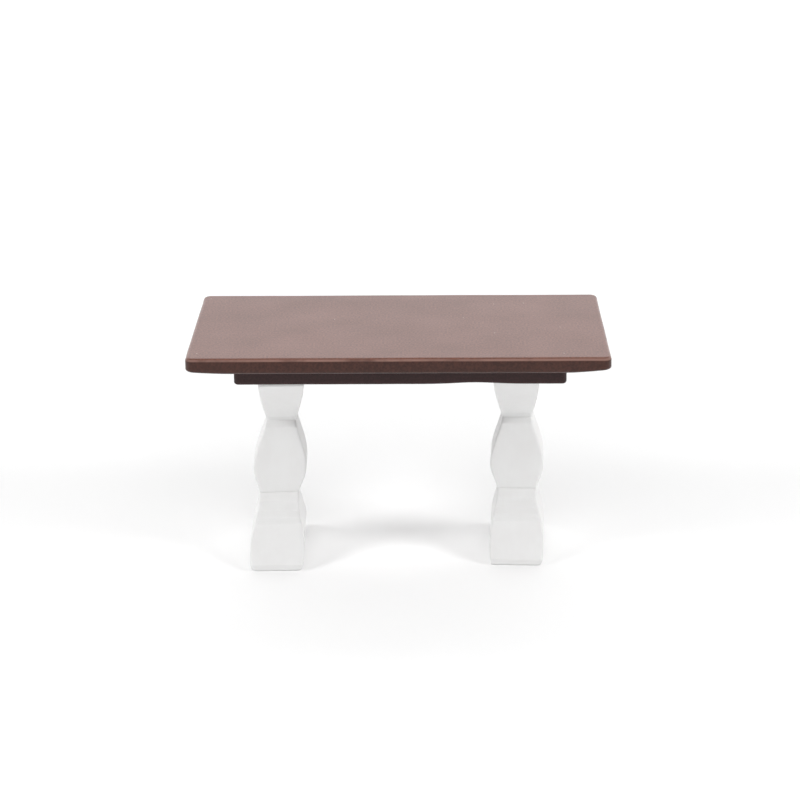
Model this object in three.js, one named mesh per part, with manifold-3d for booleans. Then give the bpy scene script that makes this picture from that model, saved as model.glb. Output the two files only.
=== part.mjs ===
// A dolls' house dining table at about one twelfth of full size, in millimetres, +Z up.
// A thick top lies on a smaller under-top, and two pedestals stand below it. Each pedestal is a
// bearer, a column and a foot, joined by dowels, and pins hold the two boards of the top together.
// The origin is on the floor below the middle of the top, with +X along the table's length.
import * as THREE from "three";
import { mergeVertices } from "three/addons/utils/BufferGeometryUtils.js";
import Module from "manifold-3d";

const wasm = await Module();
wasm.setup();

// The two boards of the top.
const TABLE_HEIGHT = 66;
const TOP = { length: 114.3, depth: 63.5, thickness: 4.4, corner: 2.2, edge: 1 };
const UNDER_TOP = { length: 90.2, depth: 52, thickness: 4.8, corner: 1.4, edge: 0.7, shift: 0.5 };
const TOP_UNDERSIDE = TABLE_HEIGHT - TOP.thickness;
const UNDER_TOP_UNDERSIDE = TOP_UNDERSIDE - UNDER_TOP.thickness;

// The pedestals are hand-cut, so each has its own place, lean, turn and foot. The foot's ease says
// how gently its outline leaves the ankle, and soleCorners rounds its left and right lower corners.
const PEDESTALS = [
  {
    name: "left",
    x: -32.4,
    y: -1.6,
    lean: -2.6,
    turn: 1.5,
    ankle: 19.4,
    footHalfDepth: 17.6,
    footEase: 2.7,
    soleCorners: [1.3, 1.3],
  },
  {
    name: "right",
    x: 33,
    y: 0.5,
    lean: 0.3,
    turn: -2.7,
    ankle: 19.6,
    footHalfDepth: 16,
    footEase: 1.9,
    soleCorners: [0.4, 1.3],
  },
];
const NECK_HEIGHT = 40.4;
const EDGE_RADIUS = 0.7;

// Half widths of a pedestal, seen from the table's long side, from the sole up to the under-top.
const WIDTH = { sole: 7.2, foot: 7.6, ankle: 5.6, belly: 7.5, neck: 4.2, bearer: 6.3 };

// How gently the outline leaves a neck: 1 is at once, and more is later.
const EASE = { column: 1.4, bearer: 1 };
const FOOT_BELLY_HEIGHT = 5.5;
const BELLY_SHARE = 0.34;

// The foot's side outline: a low toe, a raked face and two steps with sloping treads. Every run is
// level and every rise is upright, and the last tread ends at the ankle.
const FOOT = {
  soleRound: 0.5,
  toe: 1.9,
  rakeRise: 9.3,
  blockHalfDepth: 10,
  lowRiser: 1.9,
  lowTread: { run: 1.7, rise: 1.4 },
  highRiser: { run: 0.2, rise: 2.9 },
};

// The column is flat at the front, with a chamfer below the neck and a small one above the ankle.
const COLUMN = { halfDepth: 6.4, neckChamfer: 1.5, ankleChamfer: 0.5, shoulder: 0.3 };

// The bearer's side outline is a square end with a raked underside that comes in to the neck.
const BEARER = { halfDepth: 19.5, end: 1.9, neckHalfDepth: 5.2, neckLip: 0.3 };

// Room for glue where one piece of a pedestal meets the next, and round each dowel and pin.
const GLUE_GAP = 0.3;
const DOWEL = { radius: 1, chamfer: 0.3 };
const BEARER_DOWEL = { length: 7, spacing: 24, depthInBearer: 3.6 };
const COLUMN_DOWEL = { length: 9 };
const HOLE_END = 0.3;
const PIN = { length: 7.2, shank: 0.45, head: 0.85, headThickness: 0.4, point: 0.9 };
const PIN_GRID = { columns: 3, spacingX: 39, spacingY: 40 };

const CORNER_STEPS = 3;
const ROUND_STEPS = 20;

const brownPaint = new THREE.MeshStandardMaterial({ color: 0x6a4b41, roughness: 0.45, metalness: 0 });
const shadedBrownPaint = new THREE.MeshStandardMaterial({ color: 0x5f443d, roughness: 0.5, metalness: 0 });
const whitePaint = new THREE.MeshStandardMaterial({ color: 0xeeeeec, roughness: 0.5, metalness: 0 });
const bareBirch = new THREE.MeshStandardMaterial({ color: 0xd8bd8f, roughness: 0.75, metalness: 0 });
const steel = new THREE.MeshStandardMaterial({ color: 0xa9a9a7, roughness: 0.35, metalness: 1 });

// A rectangle with rounded corners as a closed, anticlockwise loop.
function roundedLoop(halfWidth, halfDepth, radius) {
  const loop = [];
  const corners = [[1, -1], [1, 1], [-1, 1], [-1, -1]];
  corners.forEach(([sideX, sideY], quarter) => {
    for (let step = 0; step <= CORNER_STEPS; step += 1) {
      const angle = ((quarter - 1 + step / CORNER_STEPS) * Math.PI) / 2;
      const x = sideX * (halfWidth - radius) + radius * Math.cos(angle);
      const y = sideY * (halfDepth - radius) + radius * Math.sin(angle);
      loop.push([x, y]);
    }
  });
  return loop;
}

// A closed solid through level sections, each a rounded rectangle that can sit off centre.
function loft(sections) {
  const positions = [];
  const indices = [];
  sections.forEach(({ height, halfWidth, halfDepth, radius, shift = 0 }) => {
    const loop = roundedLoop(halfWidth, halfDepth, radius);
    loop.forEach(([x, y]) => positions.push(x + shift, y, height));
  });
  const count = positions.length / 3 / sections.length;
  for (let level = 0; level < sections.length - 1; level += 1) {
    for (let k = 0; k < count; k += 1) {
      const a = level * count + k;
      const b = level * count + ((k + 1) % count);
      indices.push(a, b, b + count, a, b + count, a + count);
    }
  }
  const top = (sections.length - 1) * count;
  for (let k = 1; k < count - 1; k += 1) {
    indices.push(0, k + 1, k);
    indices.push(top, top + k, top + k + 1);
  }
  const geometry = new THREE.BufferGeometry();
  geometry.setAttribute("position", new THREE.Float32BufferAttribute(positions, 3));
  geometry.setIndex(indices);
  return geometry;
}

// A round solid about Z, from a profile of [radius, height] pairs that starts and ends on the axis.
function turned(profile) {
  const points = profile.map(([radius, height]) => new THREE.Vector2(radius, height));
  return new THREE.LatheGeometry(points, ROUND_STEPS).rotateX(Math.PI / 2);
}

function toSolid(geometry) {
  const bare = geometry.clone();
  bare.deleteAttribute("normal");
  bare.deleteAttribute("uv");
  const merged = mergeVertices(bare, 1e-4);
  return new wasm.Manifold(
    new wasm.Mesh({
      numProp: 3,
      vertProperties: new Float32Array(merged.attributes.position.array),
      triVerts: new Uint32Array(merged.index.array),
    }),
  );
}

function toGeometry(solid) {
  const { vertProperties, triVerts } = solid.getMesh();
  const geometry = new THREE.BufferGeometry();
  geometry.setAttribute("position", new THREE.Float32BufferAttribute(vertProperties, 3));
  geometry.setIndex(Array.from(triVerts));
  return geometry;
}

// Cuts each tool, a geometry in the body's own frame, out of the body.
function cutFrom(body, tools) {
  const left = tools.reduce((solid, tool) => solid.subtract(toSolid(tool)), toSolid(body));
  return toGeometry(left);
}

function addMesh(group, name, geometry, material, x = 0, y = 0, z = 0) {
  geometry.computeVertexNormals();
  const mesh = new THREE.Mesh(geometry, material);
  mesh.name = name;
  mesh.position.set(x, y, z);
  group.add(mesh);
  return mesh;
}

// A board with rounded corners and rounded long edges, standing on z = 0.
function board({ length, depth, thickness, corner, edge }) {
  const sections = [];
  const addLevel = (height, inset) => {
    sections.push({
      height,
      halfWidth: length / 2 - inset,
      halfDepth: depth / 2 - inset,
      radius: corner - inset,
    });
  };
  for (let step = 0; step <= CORNER_STEPS; step += 1) {
    const angle = (step / CORNER_STEPS) * (Math.PI / 2);
    addLevel(edge * (1 - Math.cos(angle)), edge * (1 - Math.sin(angle)));
  }
  for (let step = 0; step <= CORNER_STEPS; step += 1) {
    const angle = (step / CORNER_STEPS) * (Math.PI / 2);
    addLevel(thickness - edge * (1 - Math.sin(angle)), edge * (1 - Math.cos(angle)));
  }
  return loft(sections);
}

// The outline swells from a neck to a belly along a quarter of a sine wave, eased in at the neck.
function swell(neck, belly, share, ease) {
  const quarter = Math.min(Math.max(share, 0), 1) * (Math.PI / 2);
  return neck + (belly - neck) * Math.sin(quarter) ** ease;
}

// Half the pedestal's width at a height above the floor.
function halfWidthAt(height, { ankle, footEase }) {
  const belly = ankle + (NECK_HEIGHT - ankle) * BELLY_SHARE;
  if (height <= FOOT_BELLY_HEIGHT) {
    return swell(WIDTH.sole, WIDTH.foot, height / FOOT_BELLY_HEIGHT, 1);
  }
  if (height <= ankle) {
    return swell(WIDTH.ankle, WIDTH.foot, (ankle - height) / (ankle - FOOT_BELLY_HEIGHT), footEase);
  }
  if (height <= belly) {
    return swell(WIDTH.ankle, WIDTH.belly, (height - ankle) / (belly - ankle), EASE.column);
  }
  if (height <= NECK_HEIGHT) {
    return swell(WIDTH.neck, WIDTH.belly, (NECK_HEIGHT - height) / (NECK_HEIGHT - belly), EASE.column);
  }
  const share = (height - NECK_HEIGHT) / (UNDER_TOP_UNDERSIDE - NECK_HEIGHT);
  return swell(WIDTH.neck, WIDTH.bearer, share, EASE.bearer);
}

// How far the pedestal's middle has moved along X, below its place at the under-top.
function leanAt(height, pedestal) {
  return pedestal.lean * (1 - height / UNDER_TOP_UNDERSIDE);
}

// How far a rounded lower corner stands in from the outline at a height above the floor.
function cornerInset(height, radius) {
  const drop = Math.max(radius - height, 0);
  return radius - Math.sqrt(radius ** 2 - drop ** 2);
}

// Level sections of one piece of a pedestal, from [height above the floor, half depth] pairs.
function sectionsOf(profile, base, pedestal) {
  return profile.map(([height, halfDepth]) => {
    const [left, right] = pedestal.soleCorners.map((radius) => cornerInset(height, radius));
    return {
      height: height - base,
      halfWidth: halfWidthAt(height, pedestal) - (left + right) / 2,
      halfDepth,
      radius: EDGE_RADIUS,
      shift: leanAt(height, pedestal) + (left - right) / 2,
    };
  });
}

// Adds points between two pairs of a profile, so that the width can follow its curve there.
function between([height0, depth0], [height1, depth1], steps) {
  const points = [];
  for (let step = 1; step < steps; step += 1) {
    const share = step / steps;
    points.push([height0 + (height1 - height0) * share, depth0 + (depth1 - depth0) * share]);
  }
  return points;
}

function dowel(length) {
  const { radius, chamfer } = DOWEL;
  return turned([
    [0, 0],
    [radius - chamfer, 0],
    [radius, chamfer],
    [radius, length - chamfer],
    [radius - chamfer, length],
    [0, length],
  ]);
}

// A round hole from one height to another, in the frame of the piece that it is cut from.
function hole(radius, bottom, top, x = 0, y = 0) {
  const reach = radius + GLUE_GAP;
  return turned([[0, bottom], [reach, bottom], [reach, top], [0, top]]).translate(x, y, 0);
}

function foot(pedestal) {
  const { soleRound, toe, rakeRise, blockHalfDepth, lowRiser, lowTread, highRiser } = FOOT;
  const { ankle, footHalfDepth } = pedestal;
  const toeTop = [toe, footHalfDepth];
  const rakeTop = [toe + rakeRise, blockHalfDepth];
  const lowRiserTop = [rakeTop[0] + lowRiser, rakeTop[1]];
  const lowTreadTop = [lowRiserTop[0] + lowTread.rise, lowRiserTop[1] - lowTread.run];
  const highRiserTop = [lowTreadTop[0] + highRiser.rise, lowTreadTop[1] - highRiser.run];
  const profile = [
    [0, footHalfDepth - soleRound],
    [soleRound, footHalfDepth],
    toeTop,
    ...between(toeTop, rakeTop, 5),
    rakeTop,
    lowRiserTop,
    lowTreadTop,
    highRiserTop,
    [ankle, COLUMN.halfDepth],
  ];
  const body = loft(sectionsOf(profile, 0, pedestal));
  const depth = COLUMN_DOWEL.length / 2 + HOLE_END;
  return cutFrom(body, [hole(DOWEL.radius, ankle - depth, ankle + 1, leanAt(ankle, pedestal))]);
}

function column(pedestal) {
  const { halfDepth, neckChamfer, ankleChamfer, shoulder } = COLUMN;
  const { ankle } = pedestal;
  const base = ankle + GLUE_GAP;
  const bottom = [base + ankleChamfer, halfDepth];
  const top = [NECK_HEIGHT - neckChamfer, halfDepth];
  const profile = [
    [base, halfDepth - shoulder],
    bottom,
    ...between(bottom, top, 12),
    top,
    [NECK_HEIGHT, halfDepth - neckChamfer],
  ];
  const body = loft(sectionsOf(profile, base, pedestal));
  const height = NECK_HEIGHT - base;
  const depth = COLUMN_DOWEL.length / 2 + HOLE_END;
  return cutFrom(body, [
    hole(DOWEL.radius, -1, depth, leanAt(ankle, pedestal)),
    hole(DOWEL.radius, height - depth, height + 1, leanAt(NECK_HEIGHT, pedestal)),
  ]);
}

function bearer(pedestal) {
  const { halfDepth, end, neckHalfDepth, neckLip } = BEARER;
  const base = NECK_HEIGHT + GLUE_GAP;
  const ceiling = UNDER_TOP_UNDERSIDE - GLUE_GAP;
  const lip = [base + neckLip, neckHalfDepth];
  const endBottom = [ceiling - end, halfDepth];
  const profile = [
    [base, neckHalfDepth - neckLip],
    lip,
    ...between(lip, endBottom, 6),
    endBottom,
    [ceiling, halfDepth],
  ];
  const body = loft(sectionsOf(profile, base, pedestal));
  const height = ceiling - base;
  const columnDepth = COLUMN_DOWEL.length / 2 + HOLE_END;
  const dowelDepth = BEARER_DOWEL.depthInBearer + HOLE_END;
  const holes = [hole(DOWEL.radius, -1, columnDepth, leanAt(NECK_HEIGHT, pedestal))];
  for (const side of [-1, 1]) {
    const y = (side * BEARER_DOWEL.spacing) / 2;
    holes.push(hole(DOWEL.radius, height - dowelDepth, height + 1, 0, y));
  }
  return cutFrom(body, holes);
}

// Where a point of a pedestal's own frame lies in the table's frame, seen from above.
function placeOf(pedestal, x, y) {
  const turn = THREE.MathUtils.degToRad(pedestal.turn);
  const point = new THREE.Vector2(x, y).rotateAround(new THREE.Vector2(), turn);
  return point.add(new THREE.Vector2(pedestal.x, pedestal.y));
}

function addPedestal(table, pedestal) {
  const { name, ankle } = pedestal;
  const group = new THREE.Group();
  group.position.set(pedestal.x, pedestal.y, 0);
  group.rotation.z = THREE.MathUtils.degToRad(pedestal.turn);
  addMesh(group, `${name}_foot`, foot(pedestal), whitePaint);
  addMesh(group, `${name}_column`, column(pedestal), whitePaint, 0, 0, ankle + GLUE_GAP);
  addMesh(group, `${name}_bearer`, bearer(pedestal), whitePaint, 0, 0, NECK_HEIGHT + GLUE_GAP);
  for (const [place, height] of [["ankle", ankle], ["neck", NECK_HEIGHT]]) {
    const bottom = height - COLUMN_DOWEL.length / 2;
    const x = leanAt(height, pedestal);
    addMesh(group, `${name}_${place}_dowel`, dowel(COLUMN_DOWEL.length), bareBirch, x, 0, bottom);
  }
  for (const [place, side] of [["front", -1], ["back", 1]]) {
    const bottom = UNDER_TOP_UNDERSIDE - BEARER_DOWEL.depthInBearer;
    const y = (side * BEARER_DOWEL.spacing) / 2;
    addMesh(group, `${name}_bearer_dowel_${place}`, dowel(BEARER_DOWEL.length), bareBirch, 0, y, bottom);
  }
  table.add(group);
}

// Where the pins go through the under-top, numbered along the front row and then the back row.
function pinPlaces() {
  const places = [];
  for (const side of [-1, 1]) {
    for (let column = 0; column < PIN_GRID.columns; column += 1) {
      const x = (column - (PIN_GRID.columns - 1) / 2) * PIN_GRID.spacingX;
      places.push([x, (side * PIN_GRID.spacingY) / 2]);
    }
  }
  return places;
}

// A panel pin, head down and point up. A hole for it is the same shape with room added.
function pin(room = 0) {
  const { length, shank, head, headThickness, point } = PIN;
  return turned([
    [0, -room],
    [head + room, -room],
    [head + room, headThickness + room],
    [shank + room, headThickness + room],
    [shank + room, length - point + room],
    [0, length + 2 * room],
  ]);
}

function addTop(table) {
  const pinHoles = (drop) => pinPlaces().map(([x, y]) => pin(GLUE_GAP).translate(x, y, -drop));
  const top = cutFrom(board(TOP), pinHoles(UNDER_TOP.thickness));
  addMesh(table, "table_top", top, brownPaint, 0, 0, TOP_UNDERSIDE);
}

function addUnderTop(table) {
  const cuts = pinPlaces().map(([x, y]) => pin(GLUE_GAP).translate(x - UNDER_TOP.shift, y, 0));
  const depth = BEARER_DOWEL.length - BEARER_DOWEL.depthInBearer + HOLE_END;
  for (const pedestal of PEDESTALS) {
    for (const side of [-1, 1]) {
      const place = placeOf(pedestal, 0, (side * BEARER_DOWEL.spacing) / 2);
      cuts.push(hole(DOWEL.radius, -1, depth, place.x - UNDER_TOP.shift, place.y));
    }
  }
  const underTop = cutFrom(board(UNDER_TOP), cuts);
  addMesh(table, "under_top", underTop, shadedBrownPaint, UNDER_TOP.shift, 0, UNDER_TOP_UNDERSIDE);
}

function addPins(table) {
  pinPlaces().forEach(([x, y], index) => {
    addMesh(table, `top_pin_${index + 1}`, pin(), steel, x, y, UNDER_TOP_UNDERSIDE);
  });
}

const table = new THREE.Group();
addTop(table);
addUnderTop(table);
addPins(table);
PEDESTALS.forEach((pedestal) => addPedestal(table, pedestal));

export default table;
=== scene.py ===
import math

import bmesh
import bpy
from bpy.props import FloatProperty, FloatVectorProperty, PointerProperty
from mathutils import Matrix, Vector, noise


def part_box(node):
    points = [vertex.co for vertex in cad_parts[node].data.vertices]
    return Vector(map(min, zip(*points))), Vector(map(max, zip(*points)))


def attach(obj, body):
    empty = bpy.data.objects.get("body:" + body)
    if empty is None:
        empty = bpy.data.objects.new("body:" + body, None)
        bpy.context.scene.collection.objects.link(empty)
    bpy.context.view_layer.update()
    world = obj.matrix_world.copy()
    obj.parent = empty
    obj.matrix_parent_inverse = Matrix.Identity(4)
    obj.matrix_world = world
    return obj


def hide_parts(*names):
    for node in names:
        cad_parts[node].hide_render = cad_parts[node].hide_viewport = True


bl_info = {
    "name": "Dolls' house dining table",
    "version": (1, 0, 0),
    "blender": (4, 5, 0),
    "location": "3D View > Sidebar > Dining Table",
    "description": "Makes the painted top, the under-top and the two carved pedestals of a dining table",
    "category": "Object",
}

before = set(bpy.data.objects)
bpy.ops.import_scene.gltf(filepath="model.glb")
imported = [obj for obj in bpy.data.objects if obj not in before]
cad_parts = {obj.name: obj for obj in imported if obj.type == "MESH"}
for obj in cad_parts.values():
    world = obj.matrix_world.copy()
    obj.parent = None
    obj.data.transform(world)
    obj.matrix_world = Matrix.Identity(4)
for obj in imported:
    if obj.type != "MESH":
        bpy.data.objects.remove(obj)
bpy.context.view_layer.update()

MM = 0.001
SIDES = ("left", "right")
PIN_NODES = sorted(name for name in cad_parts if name.startswith("top_pin_"))
DOWEL_PLACES = ("ankle_dowel", "neck_dowel", "bearer_dowel_front", "bearer_dowel_back")


# ---------------------------------------------------------------- sizes and colours


def length_property(name, description, millimetres):
    """A length given in millimetres and kept in metres."""
    return FloatProperty(
        name=name,
        description=description,
        default=millimetres * MM,
        min=0.0,
        precision=5,
        subtype="DISTANCE",
        unit="LENGTH",
    )


def colour_property(name, description, colour):
    return FloatVectorProperty(
        name=name,
        description=description,
        default=colour,
        min=0.0,
        max=1.0,
        size=3,
        subtype="COLOR",
    )


def light_property(name, description, amount, unit="NONE"):
    return FloatProperty(name=name, description=description, default=amount, unit=unit)


class BoardSizes(bpy.types.PropertyGroup):
    """Sizes of the two boards that the frame doesn't give."""

    top_corner: length_property("Top corner", "Radius of the top's corners, seen from above", 2.2)
    top_edge: length_property("Top edge", "Radius that the top's long edges are sanded to", 1.0)
    under_corner: length_property("Under-top corner", "Radius of the under-top's corners", 1.4)
    under_edge: length_property("Under-top edge", "Radius of the under-top's edges", 0.7)
    waver: length_property("Waver", "How far the sawn sides wander from straight", 0.32)
    undulation: length_property("Undulation", "How far the painted faces rise and fall", 0.05)
    left_lift: length_property("Left lift", "How far the top's lower edge is worn up on the left", 0.5)
    right_lift: length_property("Right lift", "How far the top's lower edge is worn up on the right", 0.9)
    under_hollow: length_property("Under-top hollow", "Depth of the worn place on the lower edge", 0.5)


class PedestalSizes(bpy.types.PropertyGroup):
    """Half widths and half depths of a pedestal that the frame doesn't give."""

    sole: length_property("Sole", "Half width of the pedestal at the floor", 7.2)
    foot: length_property("Foot", "Half width of the foot at its widest", 7.6)
    ankle: length_property("Ankle", "Half width where the column meets the foot", 5.6)
    belly: length_property("Belly", "Half width of the column at its widest", 7.5)
    neck: length_property("Neck", "Half width where the bearer meets the column", 4.2)
    bearer: length_property("Bearer", "Half width of the bearer at its top", 6.3)
    foot_belly: length_property("Foot belly", "Height at which the foot is widest", 5.5)
    block_depth: length_property("Block depth", "Half depth of the foot at the top of its raked face", 10.0)
    column_depth: length_property("Column depth", "Half depth of the column", 6.4)
    bearer_depth: length_property("Bearer depth", "Half depth of the bearer at its top", 19.5)
    arris: length_property("Arris", "Radius of the long corners", 0.6)
    softness: length_property("Softness", "Radius that paint gives to each step", 0.2)
    waver: length_property("Waver", "How far the carved faces wander", 0.09)


class TableColours(bpy.types.PropertyGroup):
    """Paint, wood and metal colours."""

    top_paint: colour_property("Top paint", "Satin brown of the top", (0.062, 0.019, 0.012))
    # Painted light: a lighter brown on faces that look up, standing in for light falling on the top.
    painted_light_brown: colour_property("Faded paint", "Lighter brown where light reaches", (0.195, 0.068, 0.045))
    under_paint: colour_property("Under-top paint", "Brown of the under-top", (0.040, 0.011, 0.011))
    # Paler brown along the upper edges: partly rubbed paint and partly a painted highlight on the rounded
    # edge.
    edge_wear_and_highlight: colour_property("Worn paint", "Paler brown where an edge is rubbed", (0.27, 0.145, 0.115))
    dust: colour_property("Dust", "Pale specks that dried into the brown paint", (0.62, 0.56, 0.5))
    white_paint: colour_property("White paint", "Satin white of the pedestals", (0.83, 0.83, 0.825))
    white_shade: colour_property("White shade", "White paint where it is thicker", (0.805, 0.80, 0.795))
    birch: colour_property("Birch", "Bare wood of the dowels", (0.68, 0.51, 0.28))
    birch_grain: colour_property("Birch grain", "Darker grain of the dowels", (0.45, 0.29, 0.13))
    steel: colour_property("Steel", "Metal of the pins", (0.46, 0.46, 0.45))


class StageLook(bpy.types.PropertyGroup):
    """Light and floor."""

    floor: colour_property("Floor", "Pale floor and backdrop", (0.93, 0.93, 0.93))
    floor_glow: light_property("Floor glow", "Light that the floor gives off", 0.06)
    wall_glow: light_property("Wall glow", "Light that the back wall gives off", 1.1)
    overhead: light_property("Overhead", "Power of the light above", 0.3, "POWER")
    middle: light_property("Middle", "Power of the light above the camera", 1.15, "POWER")
    side: light_property("Side", "Power of each side light", 1.75, "POWER")
    front: light_property("Front", "Power of the light by the camera", 0.45, "POWER")
    surround: light_property("Surround", "Strength of the light all round", 0.28)


# ---------------------------------------------------------------- shader nodes


def add_node(tree, kind, settings=None, inputs=None):
    """Adds a node, sets it up and then gives its sockets their values or links."""
    node = tree.nodes.new(kind)
    for name, value in (settings or {}).items():
        setattr(node, name, value)
    for name, value in (inputs or {}).items():
        socket = value.socket if isinstance(value, Value) else value
        if isinstance(socket, bpy.types.NodeSocket):
            tree.links.new(socket, node.inputs[name])
        else:
            node.inputs[name].default_value = socket
    return node


class Value:
    """A number socket that takes part in arithmetic, which adds its Math nodes."""

    def __init__(self, socket):
        self.socket = socket

    def _maths(self, operation, first, second):
        inputs = {0: first, 1: second}
        node = add_node(self.socket.id_data, "ShaderNodeMath", {"operation": operation}, inputs)
        return Value(node.outputs[0])

    def __add__(self, other):
        return self._maths("ADD", self, other)

    __radd__ = __add__

    def __mul__(self, other):
        return self._maths("MULTIPLY", self, other)

    __rmul__ = __mul__

    def __sub__(self, other):
        return self._maths("SUBTRACT", self, other)

    def __rsub__(self, other):
        return self._maths("SUBTRACT", other, self)

    def below(self, limit):
        return self._maths("LESS_THAN", self, limit)

    def above(self, limit):
        return self._maths("GREATER_THAN", self, limit)

    def at_least(self, limit):
        return self._maths("MAXIMUM", self, limit)


def new_material(name):
    """A material with an empty node tree."""
    material = bpy.data.materials.new(name)
    material.use_nodes = True
    material.node_tree.nodes.clear()
    return material


def place_on_object(tree, stretch=(1.0, 1.0, 1.0)):
    """Coordinates in metres on the object, stretched along each axis."""
    coordinates = add_node(tree, "ShaderNodeTexCoord").outputs["Object"]
    inputs = {"Vector": coordinates, "Scale": stretch}
    return add_node(tree, "ShaderNodeMapping", inputs=inputs).outputs["Vector"]


def mottle(tree, size, detail=3.0, stretch=(1.0, 1.0, 1.0)):
    """Soft noise whose patches are about size metres across."""
    inputs = {"Vector": place_on_object(tree, stretch), "Scale": 1 / size, "Detail": detail}
    return Value(add_node(tree, "ShaderNodeTexNoise", inputs=inputs).outputs["Fac"])


def blend_colours(tree, amount, first, second):
    """A colour between two, each a colour or a socket.

    A Mix node takes colours at sockets 6 and 7 and gives one at socket 2.
    """
    first, second = (
        colour if isinstance(colour, bpy.types.NodeSocket) else (*colour, 1.0)
        for colour in (first, second)
    )
    inputs = {0: amount, 6: first, 7: second}
    return add_node(tree, "ShaderNodeMix", {"data_type": "RGBA"}, inputs).outputs[2]


def soft_step(tree, value, start, end):
    """0 below start and 1 above end, with a smooth rise between."""
    inputs = {"Value": value, "From Min": start, "From Max": end}
    settings = {"interpolation_type": "SMOOTHSTEP"}
    return Value(add_node(tree, "ShaderNodeMapRange", settings, inputs).outputs["Result"])


def dust_specks(tree, spacing, share, radius):
    """A few small round specks, seen from above."""
    settings = {"voronoi_dimensions": "2D"}
    inputs = {"Vector": place_on_object(tree), "Scale": 1 / spacing}
    cells = add_node(tree, "ShaderNodeTexVoronoi", settings, inputs)
    parts = add_node(tree, "ShaderNodeSeparateColor", inputs={"Color": cells.outputs["Color"]})
    chosen = Value(parts.outputs["Red"]).above(1 - share)
    return chosen * Value(cells.outputs["Distance"]).below(radius / spacing)


def bump(tree, height, strength, distance):
    """The shading normal of a surface that rises by distance as height goes from 0 to 1."""
    inputs = {"Height": height, "Strength": strength, "Distance": distance}
    return add_node(tree, "ShaderNodeBump", inputs=inputs).outputs["Normal"]


def finish_material(material, inputs):
    """Gives a material its one Principled shader, with those inputs."""
    tree = material.node_tree
    shader = add_node(tree, "ShaderNodeBsdfPrincipled", inputs=inputs)
    add_node(tree, "ShaderNodeOutputMaterial", inputs={"Surface": shader.outputs["BSDF"]})
    return material


def facing_up(tree):
    """How far a face looks up: 0 on upright faces and 1 on level ones."""
    normal = add_node(tree, "ShaderNodeNewGeometry").outputs["Normal"]
    parts = add_node(tree, "ShaderNodeSeparateXYZ", inputs={"Vector": normal})
    return Value(parts.outputs["Z"]).at_least(0.0)


BLACK = (0.0, 0.0, 0.0)
GRAIN_DEPTH = 0.42
# How strongly the band of wear and painted highlight shows on the upper edges.
EDGE_WEAR_AND_HIGHLIGHT_DEPTH = 0.9


def brown_paint(name, colour, sheen, colours):
    """Satin brown paint with painted light: lighter where it faces up, and a paler band of wear and
    highlight along the upper edges.
    """
    material = new_material(name)
    tree = material.node_tree
    patches = mottle(tree, size=14 * MM)
    streaks = mottle(tree, size=1.1 * MM, stretch=(0.06, 1.0, 1.0))
    grit = mottle(tree, size=0.55 * MM, detail=3.0)
    up = facing_up(tree)
    # Painted light: faces that look up get the lighter brown.
    painted_top_light = soft_step(tree, up, start=0.3, end=0.95)
    paint = blend_colours(tree, painted_top_light, colour, tuple(colours.painted_light_brown))
    grain = soft_step(tree, 0.2 * patches + 0.05 * streaks + 0.75 * grit, start=0.35, end=0.65)
    paint = blend_colours(tree, GRAIN_DEPTH * grain, paint, BLACK)
    # Wear and painted highlight: a paler band, in patches, along the upper edges.
    edges = soft_step(tree, 4.0 * up * (1.0 - up), start=0.4, end=0.95)
    edge_patches = soft_step(tree, mottle(tree, size=9 * MM), start=0.2, end=0.6)
    paint = blend_colours(tree, EDGE_WEAR_AND_HIGHLIGHT_DEPTH * edges * edge_patches, paint, tuple(colours.edge_wear_and_highlight))
    dust = dust_specks(tree, spacing=9 * MM, share=0.07, radius=0.13 * MM)
    paint = blend_colours(tree, dust, paint, tuple(colours.dust))
    roughness = 0.36 + 0.08 * patches + 0.12 * grit
    normal = bump(tree, 0.3 * streaks + 0.7 * grit, strength=0.5, distance=0.05 * MM)
    inputs = {
        "Base Color": paint,
        "Roughness": roughness,
        "Normal": normal,
        "IOR": 1.4,
        "Sheen Weight": sheen,
        "Sheen Roughness": 0.4,
    }
    return finish_material(material, inputs)


def white_paint(colours):
    """Satin white paint with faint upright brush marks."""
    material = new_material("satin_white_paint")
    tree = material.node_tree
    patches = mottle(tree, size=9 * MM)
    brushed = mottle(tree, size=1.4 * MM, stretch=(1.0, 1.0, 0.25))
    grit = mottle(tree, size=0.3 * MM, detail=2.0)
    amount = soft_step(tree, 0.75 * patches + 0.25 * brushed, start=0.35, end=0.7)
    paint = blend_colours(tree, amount, tuple(colours.white_paint), tuple(colours.white_shade))
    roughness = 0.42 + 0.12 * patches
    normal = bump(tree, 0.4 * brushed + 0.6 * grit, strength=0.07, distance=0.02 * MM)
    inputs = {"Base Color": paint, "Roughness": roughness, "Normal": normal, "IOR": 1.48}
    return finish_material(material, inputs)


def birch(colours):
    """Bare birch with its grain along the dowel."""
    material = new_material("bare_birch")
    tree = material.node_tree
    grain = mottle(tree, size=0.45 * MM, detail=5.0, stretch=(1.0, 1.0, 0.08))
    pores = mottle(tree, size=0.12 * MM, stretch=(1.0, 1.0, 0.15))
    amount = soft_step(tree, 0.7 * grain + 0.3 * pores, start=0.45, end=0.7)
    wood = blend_colours(tree, amount, tuple(colours.birch), tuple(colours.birch_grain))
    normal = bump(tree, grain, strength=0.5, distance=0.05 * MM)
    inputs = {"Base Color": wood, "Roughness": 0.62 + 0.15 * grain, "Normal": normal}
    return finish_material(material, inputs)


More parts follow.
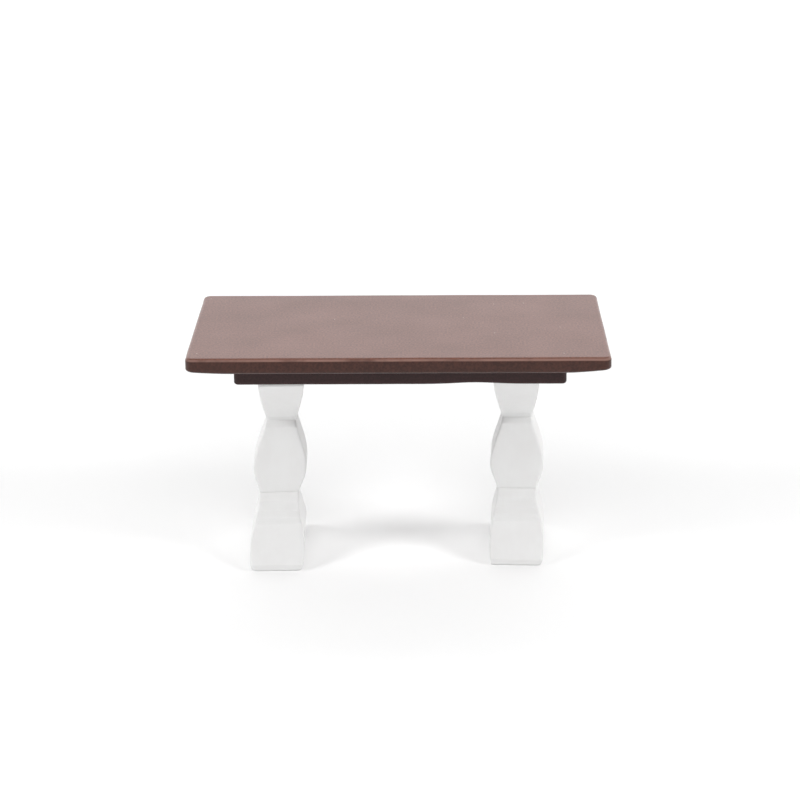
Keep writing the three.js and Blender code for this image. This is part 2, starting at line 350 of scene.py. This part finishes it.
def steel(colours):
    """Drawn steel with fine marks round the pin."""
    material = new_material("pin_steel")
    tree = material.node_tree
    marks = mottle(tree, size=0.15 * MM, stretch=(0.2, 0.2, 1.0))
    base = tuple(colours.steel)
    darker = tuple(channel * 0.8 for channel in base)
    metal = blend_colours(tree, marks, base, darker)
    normal = bump(tree, marks, strength=0.2, distance=0.01 * MM)
    inputs = {"Base Color": metal, "Roughness": 0.28 + 0.2 * marks, "Metallic": 1.0, "Normal": normal}
    return finish_material(material, inputs)


def shared_material(name, make, *details):
    """The material of that name, made the first time that it is asked for."""
    return bpy.data.materials.get(name) or make(*details)


# ---------------------------------------------------------------- mesh work


LARGEST_CORNER = 0.98  # share of the shorter half side that a corner's radius can reach
ROUND_SIDES = 40  # sides of a pin or a drilled hole
SHARP_ANGLE = math.radians(38)  # edges sharper than this stay crisp
SEED_STRIDE = (1.0, 2.3, -1.7)  # how far one step of seed moves the noise along each axis


def middle(node):
    """The middle of a node's box."""
    low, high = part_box(node)
    return (low + high) / 2


def wander(point, size, seed):
    """Smooth noise from about 0 to 1, moved by its seed and the same on every run."""
    offset = Vector([stride * seed for stride in SEED_STRIDE])
    return 0.5 + 0.5 * noise.noise(point / size + offset)


def rounded_loop(half_width, half_depth, radius, along_x, along_y, per_corner):
    """A rounded rectangle with points along its sides, anticlockwise from the front right."""
    radius = min(radius, half_width * LARGEST_CORNER, half_depth * LARGEST_CORNER)
    arcs = []
    for quarter, (side_x, side_y) in enumerate(((1, -1), (1, 1), (-1, 1), (-1, -1))):
        arc = []
        for step in range(per_corner + 1):
            angle = (quarter - 1 + step / per_corner) * math.pi / 2
            x = side_x * (half_width - radius) + radius * math.cos(angle)
            y = side_y * (half_depth - radius) + radius * math.sin(angle)
            arc.append(Vector((x, y)))
        arcs.append(arc)
    loop = []
    for arc, following, count in zip(arcs, arcs[1:] + arcs[:1], (along_y, along_x) * 2):
        loop.extend(arc)
        loop.extend(arc[-1].lerp(following[0], step / count) for step in range(1, count))
    return loop


def round_loop(radius, count, flute=0.0, flutes=0):
    """A circle, or with flutes a circle with that many shallow grooves of that depth."""
    loop = []
    for step in range(count):
        angle = 2 * math.pi * step / count
        reach = radius - flute * max(0.0, math.cos(flutes * angle))
        loop.append(Vector((reach * math.cos(angle), reach * math.sin(angle))))
    return loop


def mesh_from_rings(name, rings):
    """A closed skin over a stack of rings, with a face on each end."""
    build = bmesh.new()
    levels = [[build.verts.new(point) for point in ring] for ring in rings]
    for lower, upper in zip(levels, levels[1:]):
        for index in range(len(lower)):
            after = (index + 1) % len(lower)
            build.faces.new((lower[index], lower[after], upper[after], upper[index]))
    build.faces.new(reversed(levels[0]))
    build.faces.new(levels[-1])
    bmesh.ops.recalc_face_normals(build, faces=build.faces)
    mesh = bpy.data.meshes.new(name)
    build.to_mesh(mesh)
    build.free()
    return mesh


def cut_sockets(piece, sockets):
    """Drills a round socket for each (x, y, bottom, top, radius)."""
    cutters = []
    for index, (x, y, bottom, top, radius) in enumerate(sockets):
        loop = round_loop(radius, ROUND_SIDES)
        rings = [[Vector((x + p.x, y + p.y, height)) for p in loop] for height in (bottom, top)]
        cutter = bpy.data.objects.new(f"drill_{index}", mesh_from_rings("drill", rings))
        bpy.context.scene.collection.objects.link(cutter)
        modifier = piece.modifiers.new("drill", "BOOLEAN")
        modifier.operation = "DIFFERENCE"
        modifier.solver = "EXACT"
        modifier.object = cutter
        cutters.append(cutter)
    bpy.context.view_layer.update()
    drilled = piece.evaluated_get(bpy.context.evaluated_depsgraph_get())
    mesh = bpy.data.meshes.new_from_object(drilled)
    piece.modifiers.clear()
    piece.data = mesh
    for cutter in cutters:
        bpy.data.objects.remove(cutter)


def check_closed(piece):
    """Stops the build if a piece's skin isn't closed."""
    build = bmesh.new()
    build.from_mesh(piece.data)
    open_edges = sum(not edge.is_manifold for edge in build.edges)
    build.free()
    if open_edges:
        raise RuntimeError(f"{piece.name} has {open_edges} open edges")


def add_piece(name, rings, node, material, sockets=()):
    """Makes a piece that stands for a CAD node and moves with the table."""
    piece = bpy.data.objects.new(name, mesh_from_rings(name, rings))
    bpy.context.scene.collection.objects.link(piece)
    if sockets:
        cut_sockets(piece, sockets)
    piece.data.shade_smooth()
    piece.data.set_sharp_from_angle(angle=SHARP_ANGLE)
    piece.data.materials.clear()
    piece.data.materials.append(material)
    check_closed(piece)
    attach(piece, "root")
    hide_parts(node)
    return piece


# ---------------------------------------------------------------- boards


FACE_REACH = 0.97  # how near to the middle of a board its innermost ring comes
FACE_SPREAD = 1.2  # above 1, the rings lie closer together towards the edge
SMALLEST_CORNER = 0.15 * MM
CORNER_STEPS = 6
SIDE_STEPS = 4


def board_levels(thickness, edge, steps=6):
    """(height, inset) up the rounded side of a board."""
    levels = []
    for step in range(steps + 1):
        angle = step / steps * math.pi / 2
        levels.append((edge * (1 - math.cos(angle)), edge * (1 - math.sin(angle))))
    for step in range(1, SIDE_STEPS):
        levels.append((edge + (thickness - 2 * edge) * step / SIDE_STEPS, 0.0))
    for step in range(steps + 1):
        angle = step / steps * math.pi / 2
        levels.append((thickness - edge * (1 - math.sin(angle)), edge * (1 - math.cos(angle))))
    return levels


def face_insets(half_depth, edge, count=26):
    """How far in each ring of a board's flat face lies, from its edge to near its middle."""
    reach = half_depth * FACE_REACH - edge
    return [edge + reach * (step / count) ** FACE_SPREAD for step in range(1, count + 1)]


def board_rings(node, corner, edge, shape, along_x=110, along_y=60):
    """Rings up a board's sides and across both its faces, each point moved by shape."""
    low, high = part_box(node)
    centre, half = (low + high) / 2, (high - low) / 2
    levels = board_levels(high.z - low.z, edge)
    inward = face_insets(half.y, edge)
    levels = [(0.0, inset) for inset in reversed(inward)] + levels
    levels += [(high.z - low.z, inset) for inset in inward]
    rings = []
    for height, inset in levels:
        radius = max(corner - inset, SMALLEST_CORNER)
        loop = rounded_loop(half.x - inset, half.y - inset, radius, along_x, along_y, CORNER_STEPS)
        ring = []
        for flat in loop:
            point = Vector((centre.x + flat.x, centre.y + flat.y, low.z + height))
            ring.append(shape(point, centre, half))
        rings.append(ring)
    return rings


SIDE_WAVE = 17 * MM
FACE_WAVE = 13 * MM
FACE_SEED_STEP = 5  # keeps the faces' noise apart from the sides'
PULL_CURVE = 3  # a higher power keeps the waver nearer to the sides


def sawn(point, centre, half, waver, undulation, seed):
    """Moves a board's point inwards by its sides' waver and along Z by its faces' undulation."""
    around = Vector((point.x, point.y, 0.0))
    inward = waver * wander(around, SIDE_WAVE, seed)
    pull_x = (point.x - centre.x) / half.x
    pull_y = (point.y - centre.y) / half.y
    moved = point.copy()
    moved.x -= inward * pull_x**PULL_CURVE
    moved.y -= inward * pull_y**PULL_CURVE
    face = (point.z - centre.z) / half.z
    moved.z -= undulation * wander(point, FACE_WAVE, seed + FACE_SEED_STEP) * face
    return moved


# ---------------------------------------------------------------- pedestals


class Pedestal:
    """Where a pedestal stands and how it leans, from its dowels, and the heights of its joints."""

    def __init__(self, side):
        front = middle(f"{side}_bearer_dowel_front")
        back = middle(f"{side}_bearer_dowel_back")
        along = back - front
        self.side = side
        self.turn = math.atan2(-along.x, along.y)
        self.place = Matrix.Translation(((front.x + back.x) / 2, (front.y + back.y) / 2, 0))
        self.place = self.place @ Matrix.Rotation(self.turn, 4, "Z")
        self.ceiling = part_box("under_top")[0].z
        self.neck_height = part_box(f"{side}_column")[1].z
        self.ankle_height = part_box(f"{side}_foot")[1].z
        ankle = self.place.inverted() @ middle(f"{side}_ankle_dowel")
        neck = self.place.inverted() @ middle(f"{side}_neck_dowel")
        self.lean = (ankle.x - neck.x) / (neck.z - ankle.z)

    def shift(self, height):
        """How far the pedestal's middle has moved along its own X at a height."""
        return self.lean * (self.ceiling - height)


def swell(neck, belly, share, ease=1.0):
    """The outline swells from a neck to a belly along a quarter of a sine wave."""
    return neck + (belly - neck) * math.sin(min(max(share, 0.0), 1.0) * math.pi / 2) ** ease


BELLY_SHARE = 0.34  # how far up the column its belly is
COLUMN_EASE = 1.4  # above 1, the outline stays narrow for longer
FOOT_EASE = {"left": 2.7, "right": 1.9}
SOLE_CORNERS = {"left": (1.3 * MM, 1.3 * MM), "right": (0.4 * MM, 1.3 * MM)}


def half_width(height, pedestal, sizes):
    """Half a pedestal's width at a height, before its lower corners are rounded."""
    ankle, neck = pedestal.ankle_height, pedestal.neck_height
    belly = ankle + (neck - ankle) * BELLY_SHARE
    if height <= sizes.foot_belly:
        return swell(sizes.sole, sizes.foot, height / sizes.foot_belly)
    if height <= ankle:
        share = (ankle - height) / (ankle - sizes.foot_belly)
        return swell(sizes.ankle, sizes.foot, share, FOOT_EASE[pedestal.side])
    if height <= belly:
        return swell(sizes.ankle, sizes.belly, (height - ankle) / (belly - ankle), COLUMN_EASE)
    if height <= neck:
        return swell(sizes.neck, sizes.belly, (neck - height) / (neck - belly), COLUMN_EASE)
    return swell(sizes.neck, sizes.bearer, (height - neck) / (pedestal.ceiling - neck))


def corner_inset(height, radius):
    """How far a rounded lower corner stands in from the outline."""
    drop = max(radius - height, 0.0)
    return radius - math.sqrt(radius**2 - drop**2)


ROUNDED_SHARE = 0.45  # most of a straight stretch that the curve at each end can take


def softened(profile, radius, steps=5):
    """Rounds each inner corner of a profile with a short curve."""
    points = [Vector(point) for point in profile]
    soft = [points[0]]
    for before, corner, after in zip(points, points[1:], points[2:]):
        reach_in = min(radius, (corner - before).length * ROUNDED_SHARE)
        reach_out = min(radius, (after - corner).length * ROUNDED_SHARE)
        start = corner + (before - corner).normalized() * reach_in
        end = corner + (after - corner).normalized() * reach_out
        for step in range(steps + 1):
            share = step / steps
            soft.append(start.lerp(corner, share).lerp(corner.lerp(end, share), share))
    soft.append(points[-1])
    return soft


def filled_in(profile, longest):
    """Adds points so that no stretch of a profile is longer than that."""
    points = [profile[0]]
    for before, after in zip(profile, profile[1:]):
        count = max(1, math.ceil((after - before).length / longest))
        points.extend(before.lerp(after, step / count) for step in range(1, count + 1))
    return points


CAP_SHARES = (0.35, 0.7, 0.9)


def capped(profile):
    """Adds rings that close in on the middle of each end."""
    (low, low_depth), (high, high_depth) = profile[0], profile[-1]
    below = [(low, low_depth * share, share) for share in CAP_SHARES]
    above = [(high, high_depth * share, share) for share in reversed(CAP_SHARES)]
    return below + [(height, depth, 1.0) for height, depth in profile] + above


RING_SPACING = 0.45 * MM
CARVED_WAVE = 6 * MM


def carved_rings(profile, pedestal, sizes, seed):
    """Rings of a pedestal's piece in the row frame, from its (height, half depth) profile."""
    smooth = filled_in(softened(profile, sizes.softness), RING_SPACING)
    rings = []
    for height, depth, share in capped(smooth):
        left, right = (corner_inset(height, radius) for radius in SOLE_CORNERS[pedestal.side])
        width = (half_width(height, pedestal, sizes) - (left + right) / 2) * share
        loop = rounded_loop(width, depth, sizes.arris * share, along_x=14, along_y=26, per_corner=5)
        ring = []
        for flat in loop:
            point = Vector((flat.x, flat.y, height))
            out = Vector((flat.x / width, flat.y / depth, 0.0)) * share
            moved = point - out * sizes.waver * wander(point, CARVED_WAVE, seed)
            moved.x += pedestal.shift(height) + (left - right) / 2
            ring.append(pedestal.place @ moved)
        rings.append(ring)
    return rings


SOCKET_ROOM = 0.15 * MM
RUN_OUT = 1 * MM


def dowel_socket(node):
    """The socket for a dowel or pin: its place, its bottom and top, and its radius."""
    low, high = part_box(node)
    radius = (high.x - low.x + high.y - low.y) / 4 + SOCKET_ROOM
    return (low.x + high.x) / 2, (low.y + high.y) / 2, low.z, high.z, radius


def sockets_in(piece_node, dowels):
    """The sockets of a piece, run out through the face that each dowel leaves by."""
    low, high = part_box(piece_node)
    sockets = []
    for dowel in dowels:
        x, y, bottom, top, radius = dowel_socket(dowel)
        if bottom < low.z:
            bottom = low.z - RUN_OUT
            top += 2 * SOCKET_ROOM
        else:
            top = high.z + RUN_OUT
            bottom -= 2 * SOCKET_ROOM
        sockets.append((x, y, bottom, top, radius))
    return sockets


def through_holes(node, pins):
    """A hole for each pin, right through a board."""
    low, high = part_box(node)
    holes = []
    for pin in pins:
        x, y, _, _, radius = dowel_socket(pin)
        holes.append((x, y, low.z - RUN_OUT, high.z + RUN_OUT, radius))
    return holes


# The gap left at each glued joint.
JOINT_LINE = 0.015 * MM

# Carving, from the floor up. A run is along the pedestal's depth and a rise is along Z.
SOLE_ROUND = 0.5 * MM
TOE_HEIGHT = 1.9 * MM
RAKE_RISE = 9.3 * MM
LOW_RISER = 1.9 * MM
LOW_TREAD_RUN, LOW_TREAD_RISE = 1.7 * MM, 1.4 * MM
HIGH_RISER_RUN, HIGH_RISER_RISE = 0.2 * MM, 2.9 * MM
ANKLE_CHAMFER_RUN, ANKLE_CHAMFER_RISE = 0.15 * MM, 0.5 * MM
NECK_CHAMFER = 1.5 * MM
NECK_BAND_RUN, NECK_BAND_RISE = 0.3 * MM, 1.1 * MM
BEARER_END = 1.9 * MM


def foot_reach(pedestal):
    """Half the depth of a foot along its own axis, which its turned box gives."""
    low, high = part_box(f"{pedestal.side}_foot")
    turn = abs(pedestal.turn)
    across = (high.x - low.x) / 2 * math.sin(turn)
    return ((high.y - low.y) / 2 - across) / math.cos(turn)


def foot_profile(pedestal, sizes):
    """(height, half depth) of a foot: a low toe, a raked face and two steps with sloping treads."""
    reach = foot_reach(pedestal)
    block_top = TOE_HEIGHT + RAKE_RISE
    tread_foot = block_top + LOW_RISER
    tread_head = tread_foot + LOW_TREAD_RISE
    tread_depth = sizes.block_depth - LOW_TREAD_RUN
    return [
        (0.0, reach - SOLE_ROUND),
        (SOLE_ROUND, reach),
        (TOE_HEIGHT, reach),
        (block_top, sizes.block_depth),
        (tread_foot, sizes.block_depth),
        (tread_head, tread_depth),
        (tread_head + HIGH_RISER_RISE, tread_depth - HIGH_RISER_RUN),
        (pedestal.ankle_height, sizes.column_depth),
    ]


def column_profile(pedestal, sizes):
    """(height, half depth) of a column, which runs down to the glue line on the foot."""
    top = pedestal.neck_height
    bottom = pedestal.ankle_height + JOINT_LINE
    return [
        (bottom, sizes.column_depth - ANKLE_CHAMFER_RUN),
        (bottom + ANKLE_CHAMFER_RISE, sizes.column_depth),
        (top - NECK_CHAMFER, sizes.column_depth),
        (top, sizes.column_depth - NECK_CHAMFER),
    ]


def bearer_profile(pedestal, sizes):
    """(height, half depth) of a bearer: a plain band, a raked underside and a square end."""
    bottom = pedestal.neck_height + JOINT_LINE
    top = pedestal.ceiling - JOINT_LINE
    neck_depth = sizes.column_depth - NECK_CHAMFER
    return [
        (bottom, neck_depth),
        (bottom + NECK_BAND_RISE, neck_depth + NECK_BAND_RUN),
        (top - BEARER_END, sizes.bearer_depth),
        (top, sizes.bearer_depth),
    ]


SIDE_SEED_STEP = 7.0


def add_pedestal_pieces(context, part, profile, dowels):
    """Makes one part of each pedestal, each side with waver of its own."""
    sizes, colours = context.scene.pedestal_sizes, context.scene.table_colours
    material = shared_material("satin_white_paint", white_paint, colours)
    for number, side in enumerate(SIDES, 1):
        pedestal = Pedestal(side)
        node = f"{side}_{part}"
        seed = SIDE_SEED_STEP * number + len(part)
        rings = carved_rings(profile(pedestal, sizes), pedestal, sizes, seed)
        sockets = sockets_in(node, [f"{side}_{dowel}" for dowel in dowels])
        add_piece(f"{side}_carved_{part}", rings, node, material, sockets)


# ---------------------------------------------------------------- dowels and pins


def turned_rings(node, profile, **loop_shape):
    """Round rings about a node's upright axis, one for each (height, radius)."""
    centre = middle(node)
    rings = []
    for height, radius in profile:
        loop = round_loop(radius, **loop_shape)
        rings.append([Vector((centre.x + p.x, centre.y + p.y, height)) for p in loop])
    return rings


DOWEL_CHAMFER = 0.3 * MM
DOWEL_STEPS = 12
DOWEL_SIDES = 96
FLUTE_DEPTH = 0.07 * MM
FLUTES = 16


def dowel_rings(node):
    """A fluted dowel with chamfered ends."""
    low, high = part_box(node)
    radius = (high.x - low.x) / 2
    start = low.z + DOWEL_CHAMFER
    span = high.z - low.z - 2 * DOWEL_CHAMFER
    profile = [(low.z, radius - DOWEL_CHAMFER)]
    profile += [(start + span * step / DOWEL_STEPS, radius) for step in range(DOWEL_STEPS + 1)]
    profile.append((high.z, radius - DOWEL_CHAMFER))
    return turned_rings(node, profile, count=DOWEL_SIDES, flute=FLUTE_DEPTH, flutes=FLUTES)


# Each pair is a distance in mm and a share of a radius. The head and the neck are measured up
# from the pin's bottom and the point down from its top. Only the head's shares are of the head.
PIN_HEAD = ((0.0, 0.55), (0.06, 0.85), (0.16, 1.0), (0.3, 1.0), (0.4, 0.93))
PIN_NECK = ((0.46, 1.1), (0.6, 1.0))
PIN_POINT = ((0.9, 1.0), (0.4, 0.55), (0.0, 0.08))
PIN_SHANK_RADIUS = 0.45 * MM


def pin_rings(node):
    """A panel pin with a rounded head below and a blunt point above."""
    low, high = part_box(node)
    head_radius = (high.x - low.x) / 2
    profile = [(low.z + rise * MM, head_radius * share) for rise, share in PIN_HEAD]
    profile += [(low.z + rise * MM, PIN_SHANK_RADIUS * share) for rise, share in PIN_NECK]
    profile += [(high.z - drop * MM, PIN_SHANK_RADIUS * share) for drop, share in PIN_POINT]
    return turned_rings(node, profile, count=ROUND_SIDES)


# ---------------------------------------------------------------- stage


FLOOR_FRONT, FLOOR_BACK = -2.0, 0.9
BEND_RADIUS = 0.5
BEND_STEPS = 16
WALL_TOP = 2.4
BACKDROP_HALF_WIDTH = 2.4
GLOW_START, GLOW_END = 0.1, 0.9  # how far back the glow starts to rise and stops


def add_backdrop(look):
    """A pale floor that curves up into a back wall."""
    section = [(FLOOR_FRONT, 0.0), (FLOOR_BACK, 0.0)]
    for step in range(1, BEND_STEPS + 1):
        angle = step / BEND_STEPS * math.pi / 2
        back = FLOOR_BACK + BEND_RADIUS * math.sin(angle)
        section.append((back, BEND_RADIUS * (1 - math.cos(angle))))
    section.append((FLOOR_BACK + BEND_RADIUS, WALL_TOP))
    build = bmesh.new()
    left = [build.verts.new((-BACKDROP_HALF_WIDTH, y, z)) for y, z in section]
    right = [build.verts.new((BACKDROP_HALF_WIDTH, y, z)) for y, z in section]
    for index in range(len(section) - 1):
        build.faces.new((left[index], right[index], right[index + 1], left[index + 1]))
    mesh = bpy.data.meshes.new("backdrop")
    build.to_mesh(mesh)
    build.free()
    mesh.shade_smooth()
    backdrop = bpy.data.objects.new("backdrop", mesh)
    bpy.context.scene.collection.objects.link(backdrop)
    mesh.materials.append(pale_backdrop(look))


def pale_backdrop(look):
    """A matt pale surface whose glow rises smoothly from the floor near the table to the wall."""
    material = new_material("pale_backdrop")
    tree = material.node_tree
    parts = add_node(tree, "ShaderNodeSeparateXYZ", inputs={"Vector": place_on_object(tree)})
    far = soft_step(tree, Value(parts.outputs["Y"]), GLOW_START, GLOW_END)
    near_glow = (look.floor_glow / look.wall_glow,) * 3
    inputs = {
        "Base Color": (*look.floor, 1.0),
        "Roughness": 0.9,
        "Emission Color": blend_colours(tree, far, near_glow, (1.0, 1.0, 1.0)),
        "Emission Strength": look.wall_glow,
    }
    return finish_material(material, inputs)


def add_area_light(name, place, aim, width, height, power):
    """A rectangular light that points at aim, with its power in watts."""
    data = bpy.data.lights.new(name, "AREA")
    data.shape = "RECTANGLE"
    data.size, data.size_y = width, height
    data.energy = power
    light = bpy.data.objects.new(name, data)
    light.location = place
    light.rotation_mode = "QUATERNION"
    light.rotation_quaternion = (Vector(aim) - Vector(place)).to_track_quat("-Z", "Y")
    bpy.context.scene.collection.objects.link(light)


LIGHT_AIM = (0.0, 0.0, 0.035)
SIDE_LIGHT_AZIMUTH = math.radians(68)
SIDE_LIGHT_ELEVATION = math.radians(33)
SIDE_LIGHT_DISTANCE = 0.7
SIDE_LIGHT_SIZE = 0.22

# Where each larger light hangs, its width and its height.
LARGE_LIGHTS = {
    "overhead": ((0.0, 0.1, 0.7), 0.7, 0.6),
    "middle_front": ((0.0, -0.64, 0.61), 0.5, 0.3),
    "front": ((0.0, -0.8, 0.45), 0.5, 0.3),
}


def add_lights(look):
    """Soft lights overhead, above the camera and by it, one on each side, and light all round."""
    powers = {"overhead": look.overhead, "middle_front": look.middle, "front": look.front}
    for name, (place, width, height) in LARGE_LIGHTS.items():
        add_area_light(name, place, LIGHT_AIM, width, height, powers[name])
    flat = math.cos(SIDE_LIGHT_ELEVATION)
    for name, sign in (("left_side", -1), ("right_side", 1)):
        across = sign * math.sin(SIDE_LIGHT_AZIMUTH) * flat
        forward = -math.cos(SIDE_LIGHT_AZIMUTH) * flat
        towards = Vector((across, forward, math.sin(SIDE_LIGHT_ELEVATION)))
        place = Vector(LIGHT_AIM) + towards * SIDE_LIGHT_DISTANCE
        add_area_light(name, place, LIGHT_AIM, SIDE_LIGHT_SIZE, SIDE_LIGHT_SIZE, look.side)
    world = bpy.data.worlds.new("surround")
    world.use_nodes = True
    background = world.node_tree.nodes["Background"]
    background.inputs["Color"].default_value = (1.0, 1.0, 1.0, 1.0)
    background.inputs["Strength"].default_value = look.surround
    bpy.context.scene.world = world


CAMERA_AZIMUTH = math.radians(0.73)
CAMERA_ELEVATION = math.radians(18.15)
CAMERA_ROLL = math.radians(-0.42)
CAMERA_DISTANCE = 0.6943
CAMERA_AIM = Vector((0.0001, 0.0, 0.04405))
CAMERA_LENS = 111.1
SENSOR_WIDTH = 36.0
NEAREST_SEEN = 0.01


def add_camera():
    """A long lens in front of the table, a little above its top."""
    flat = math.cos(CAMERA_ELEVATION)
    look = Vector((-math.sin(CAMERA_AZIMUTH) * flat, math.cos(CAMERA_AZIMUTH) * flat, 0.0))
    look.z = -math.sin(CAMERA_ELEVATION)
    right = look.cross(Vector((0, 0, 1))).normalized()
    up = right.cross(look)
    turned_right = right * math.cos(CAMERA_ROLL) + up * math.sin(CAMERA_ROLL)
    turned_up = up * math.cos(CAMERA_ROLL) - right * math.sin(CAMERA_ROLL)
    axes = Matrix((turned_right, turned_up, -look)).transposed().to_4x4()
    data = bpy.data.cameras.new("camera")
    data.lens = CAMERA_LENS
    data.sensor_width = SENSOR_WIDTH
    data.clip_start = NEAREST_SEEN
    camera = bpy.data.objects.new("camera", data)
    camera.matrix_world = Matrix.Translation(CAMERA_AIM - look * CAMERA_DISTANCE) @ axes
    bpy.context.scene.collection.objects.link(camera)
    bpy.context.scene.camera = camera


# ---------------------------------------------------------------- operators


# Places along a board are shares of its half length, and the spread is a squared share.
LIFT_START = 0.8
LIFT_CURVE = 1.5  # a higher power keeps the lift nearer to the ends
HOLLOW_PLACE = 0.45
HOLLOW_SPREAD = 0.03
HOLLOW_EDGE_CURVE = 6  # a higher power keeps the hollow nearer to the long edges


class TABLE_OT_top(bpy.types.Operator):
    """Make the painted top, with wavering sawn sides and worn lower edges"""

    bl_idname = "dining_table.top"
    bl_label = "Make Top"

    def execute(self, context):
        sizes, colours = context.scene.board_sizes, context.scene.table_colours

        def shape(point, centre, half):
            moved = sawn(point, centre, half, sizes.waver, sizes.undulation, seed=3.0)
            along = abs(point.x - centre.x) / half.x
            towards_end = max(0.0, along - LIFT_START) / (1 - LIFT_START)
            lower = max(0.0, (centre.z - point.z) / half.z)
            lift = sizes.right_lift if point.x > centre.x else sizes.left_lift
            moved.z += lift * lower * towards_end**LIFT_CURVE
            return moved

        rings = board_rings("table_top", sizes.top_corner, sizes.top_edge, shape)
        paint = tuple(colours.top_paint)
        material = brown_paint("satin_brown_top", paint, sheen=0.2, colours=colours)
        sockets = sockets_in("table_top", PIN_NODES)
        add_piece("painted_top", rings, "table_top", material, sockets)
        return {"FINISHED"}


class TABLE_OT_under_top(bpy.types.Operator):
    """Make the smaller board below the top, with sockets for its dowels and pins"""

    bl_idname = "dining_table.under_top"
    bl_label = "Make Under-top"

    def execute(self, context):
        sizes, colours = context.scene.board_sizes, context.scene.table_colours

        def shape(point, centre, half):
            moved = sawn(point, centre, half, sizes.waver, sizes.undulation, seed=11.0)
            along = (point.x - centre.x) / half.x
            hollow = math.exp(-((along - HOLLOW_PLACE) ** 2) / HOLLOW_SPREAD)
            lower = max(0.0, (centre.z - point.z) / half.z)
            near_side = abs(point.y - centre.y) / half.y
            moved.z += sizes.under_hollow * lower * hollow * near_side**HOLLOW_EDGE_CURVE
            return moved

        rings = board_rings("under_top", sizes.under_corner, sizes.under_edge, shape)
        paint = tuple(colours.under_paint)
        material = brown_paint("satin_brown_under_top", paint, sheen=0.0, colours=colours)
        dowels = [f"{side}_bearer_dowel_{end}" for side in SIDES for end in ("front", "back")]
        sockets = sockets_in("under_top", dowels)
        sockets += through_holes("under_top", PIN_NODES)
        add_piece("painted_under_top", rings, "under_top", material, sockets)
        return {"FINISHED"}


class TABLE_OT_feet(bpy.types.Operator):
    """Make the two stepped feet"""

    bl_idname = "dining_table.feet"
    bl_label = "Make Feet"

    def execute(self, context):
        add_pedestal_pieces(context, "foot", foot_profile, ["ankle_dowel"])
        return {"FINISHED"}


class TABLE_OT_columns(bpy.types.Operator):
    """Make the two vase-shaped columns"""

    bl_idname = "dining_table.columns"
    bl_label = "Make Columns"

    def execute(self, context):
        add_pedestal_pieces(context, "column", column_profile, ["ankle_dowel", "neck_dowel"])
        return {"FINISHED"}


class TABLE_OT_bearers(bpy.types.Operator):
    """Make the two bearers that carry the boards"""

    bl_idname = "dining_table.bearers"
    bl_label = "Make Bearers"

    def execute(self, context):
        dowels = ["neck_dowel", "bearer_dowel_front", "bearer_dowel_back"]
        add_pedestal_pieces(context, "bearer", bearer_profile, dowels)
        return {"FINISHED"}


class TABLE_OT_dowels(bpy.types.Operator):
    """Make the fluted dowels that join the pedestals' pieces"""

    bl_idname = "dining_table.dowels"
    bl_label = "Make Dowels"

    def execute(self, context):
        material = shared_material("bare_birch", birch, context.scene.table_colours)
        for side in SIDES:
            for place in DOWEL_PLACES:
                node = f"{side}_{place}"
                rings = dowel_rings(node)
                add_piece(f"{side}_fluted_{place}", rings, node, material)
        return {"FINISHED"}


class TABLE_OT_pins(bpy.types.Operator):
    """Make the steel pins that hold the under-top to the top"""

    bl_idname = "dining_table.pins"
    bl_label = "Make Pins"

    def execute(self, context):
        material = shared_material("pin_steel", steel, context.scene.table_colours)
        for number, node in enumerate(PIN_NODES, 1):
            add_piece(f"panel_pin_{number}", pin_rings(node), node, material)
        return {"FINISHED"}


class TABLE_OT_stage(bpy.types.Operator):
    """Make the floor, the lights and the camera"""

    bl_idname = "dining_table.stage"
    bl_label = "Make Stage"

    def execute(self, context):
        look = context.scene.stage_look
        add_backdrop(look)
        add_lights(look)
        add_camera()
        context.scene.view_settings.view_transform = "Standard"
        return {"FINISHED"}


OPERATORS = (
    TABLE_OT_top,
    TABLE_OT_under_top,
    TABLE_OT_bearers,
    TABLE_OT_columns,
    TABLE_OT_feet,
    TABLE_OT_dowels,
    TABLE_OT_pins,
    TABLE_OT_stage,
)


class TABLE_PT_panel(bpy.types.Panel):
    """Lists the table's pieces, sizes and colours"""

    bl_idname = "TABLE_PT_panel"
    bl_label = "Dining Table"
    bl_space_type = "VIEW_3D"
    bl_region_type = "UI"
    bl_category = "Dining Table"

    def draw(self, context):
        for operator in OPERATORS:
            self.layout.operator(operator.bl_idname)
        for name in SETTINGS:
            group = getattr(context.scene, name)
            column = self.layout.column(align=True)
            for key in group.__annotations__:
                column.prop(group, key)


SETTINGS = {
    "board_sizes": BoardSizes,
    "pedestal_sizes": PedestalSizes,
    "table_colours": TableColours,
    "stage_look": StageLook,
}
CLASSES = (*SETTINGS.values(), *OPERATORS, TABLE_PT_panel)


def register():
    for cls in CLASSES:
        bpy.utils.register_class(cls)
    for name, group in SETTINGS.items():
        setattr(bpy.types.Scene, name, PointerProperty(type=group))


def unregister():
    for name in SETTINGS:
        delattr(bpy.types.Scene, name)
    for cls in reversed(CLASSES):
        bpy.utils.unregister_class(cls)


def main():
    """Makes every piece and the stage through their operators."""
    register()
    for operator in OPERATORS:
        group, name = operator.bl_idname.split(".")
        getattr(getattr(bpy.ops, group), name)()


if __name__ == "__main__":
    main()
